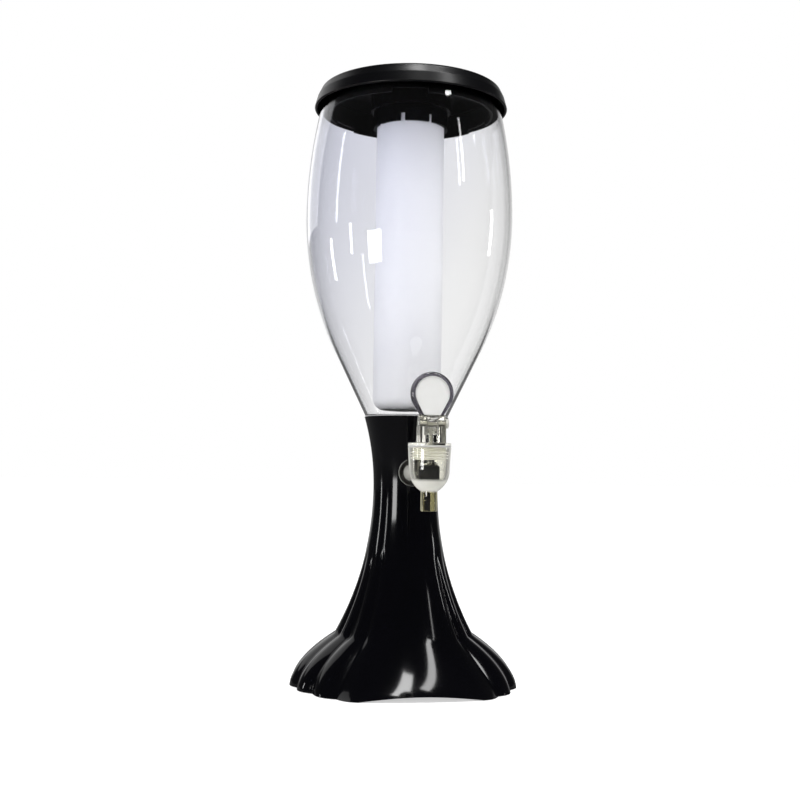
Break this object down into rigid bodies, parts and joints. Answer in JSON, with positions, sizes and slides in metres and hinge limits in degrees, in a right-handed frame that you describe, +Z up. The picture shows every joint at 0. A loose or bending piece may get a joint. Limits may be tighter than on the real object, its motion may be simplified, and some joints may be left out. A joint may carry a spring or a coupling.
{
  "type": "drinks tower dispenser",
  "caption": "Tabletop drinks tower: a black flared pedestal carries a clear tapering bowl with a lid, an ice tube inside and a clear self-closing tap on a long shank.",
  "frame": {"origin": "the point of the table under the pedestal's axis", "axes": "+Z up along the tower's axis; the tap points to -Y; +X points to the right of someone who stands in front of the tower and looks at the tap"},
  "size_m": [0.196, 0.2122, 0.5259],
  "materials": {
    "gloss_black_abs": "gloss moulded",
    "black_rubber": "matt",
    "clear_bowl": "clear, polished",
    "clear_silicone": "translucent",
    "frosted_plastic": "translucent white",
    "clear_tap_plastic": "clear, polished",
    "steel": "drawn wire"
  },
  "bodies": {
    "tower": {"pedestal_shell": "gloss_black_abs", "foot_pads": "black_rubber", "bowl": "clear_bowl", "bowl_seat_ring": "black_rubber", "tap_body": "clear_tap_plastic", "saddle_washer": "black_rubber", "inner_washer": "clear_silicone", "shank_nut": "gloss_black_abs", "tap_bonnet": "clear_tap_plastic", "bonnet_seal": "clear_silicone", "stem_ring": "black_rubber", "handle_pin": "clear_tap_plastic"},
    "lid": {"lid_cap": "gloss_black_abs", "lid_seal": "black_rubber"},
    "ice_tube": {"ice_tube": "frosted_plastic", "ice_tube_seal": "clear_silicone"},
    "collar": {"ice_tube_collar": "gloss_black_abs"},
    "handle": {"tap_handle": "clear_tap_plastic"},
    "stem": {"valve_stem": "clear_tap_plastic", "valve_plug": "black_rubber", "stem_spring": "steel"}
  },
  "joints": [
    {"name": "lid_lift", "type": "slide", "parent": "tower", "child": "lid", "axis": [0, 0, 1], "range_m": [0, 0.29]},
    {"name": "ice_tube_drop", "type": "slide", "parent": "lid", "child": "ice_tube", "axis": [0, 0, -1], "range_m": [0, 0.006]},
    {"name": "collar_turn", "type": "hinge", "parent": "ice_tube", "child": "collar", "pos_m": [0, 0, 0.5], "axis": [0, 0, -1], "range_deg": [0, 360]},
    {"name": "handle_tilt", "type": "hinge", "parent": "tower", "child": "handle", "pos_m": [0, -0.1109, 0.221], "axis": [1, 0, 0], "range_deg": [0, 40]},
    {"name": "stem_lift", "type": "slide", "parent": "tower", "child": "stem", "axis": [0, 0, 1], "range_m": [0, 0.00579], "stiffness_N_per_m": 200, "springref_m": -0.004, "deforming": ["stem_spring"]}
  ],
  "couplings": [
    {"joint": "collar_turn", "follows": "ice_tube_drop", "rad_per_m": 1047.2},
    {"joint": "handle_tilt", "follows": "stem_lift", "rad_per_m": 120.48}
  ]
}
